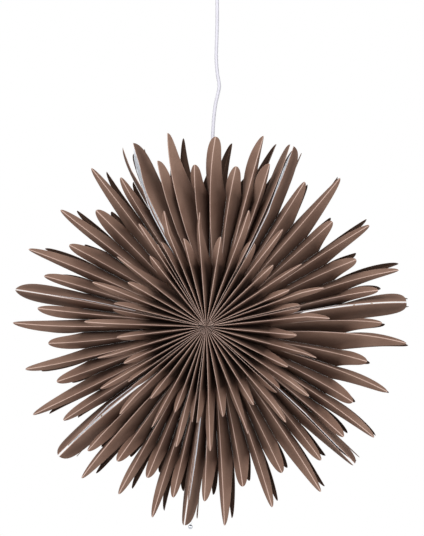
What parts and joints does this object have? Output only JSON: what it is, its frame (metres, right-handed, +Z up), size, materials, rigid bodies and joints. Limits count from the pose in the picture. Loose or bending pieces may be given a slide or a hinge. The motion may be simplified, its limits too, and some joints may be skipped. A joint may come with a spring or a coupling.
{
  "type": "hanging paper star lamp",
  "caption": "Round paper star of folded, glued petals in fans with clear film in the seams, lit by a screw-in bulb inside, hung by a white cable from a ceiling cup.",
  "frame": {"origin": "middle of the ceiling plate's top face", "axes": "+Z up, the star's front faces -Y, +X to the viewer's right"},
  "size_m": [0.5968, 0.14, 0.8684],
  "materials": {
    "paper": "matte",
    "clear_film": "milky clear plastic",
    "brass": "polished",
    "chrome": "mirror",
    "white_cable": "satin",
    "core_insulation": "satin",
    "white_plastic": "satin",
    "steel": "satin",
    "bulb_glass": "frosted"
  },
  "bodies": {
    "ceiling": {"ceiling_plate": "steel", "ceiling_hook": "steel", "terminal_block": "white_plastic", "cable_cores": "core_insulation", "ceiling_cup": "white_plastic", "cup_gland": "white_plastic"},
    "cable": {"cable": "white_cable"},
    "star": {"petals_a": "paper", "petals_b": "paper", "petals_c": "paper", "petals_d": "paper", "petals_e": "paper", "petals_f": "paper", "petals_g": "paper", "film_a": "clear_film", "film_b": "clear_film", "film_c": "clear_film", "film_d": "clear_film", "film_e": "clear_film", "film_f": "clear_film", "film_g": "clear_film", "stud_01": "brass", "stud_02": "brass", "stud_03": "brass", "stud_04": "brass", "stud_05": "brass", "stud_06": "brass", "stud_07": "brass", "stud_08": "brass", "stud_09": "brass", "stud_10": "brass", "stud_11": "brass", "stud_12": "brass", "stud_13": "brass", "stud_14": "brass", "spreader": "clear_film", "holder_relief": "white_plastic", "holder_shell": "white_plastic", "holder_ring": "white_plastic", "holder_insert": "brass"},
    "bulb_foot": {"bulb_contact": "steel"},
    "bulb": {"bulb_cap": "steel", "bulb_glass": "bulb_glass"},
    "ball": {"ball": "chrome", "ball_loop": "clear_film"}
  },
  "joints": [
    {"name": "star_swing", "type": "hinge", "parent": "ceiling", "child": "cable", "pos_m": [0, 0, -0.048], "axis": [1, 0, 0], "range_deg": [-15, 15]},
    {"name": "star_turn", "type": "hinge", "parent": "cable", "child": "star", "pos_m": [-0.008, 0, -0.5224], "axis": [0, 0, 1], "range_deg": [-180, 180], "stiffness_Nm_per_rad": 0.002},
    {"name": "bulb_out", "type": "slide", "parent": "star", "child": "bulb_foot", "axis": [0, 0, -1], "range_m": [0, 0.0085]},
    {"name": "bulb_turn", "type": "hinge", "parent": "bulb_foot", "child": "bulb", "pos_m": [-0.008, 0, -0.54], "axis": [0, 0, -1], "range_deg": [0, 1080]},
    {"name": "ball_swing", "type": "hinge", "parent": "star", "child": "ball", "pos_m": [-0.0412, 0, -0.85545], "axis": [0, 1, 0], "range_deg": [-30, 30]}
  ],
  "couplings": [
    {"joint": "bulb_out", "follows": "bulb_turn", "m_per_rad": 0.00044881}
  ]
}
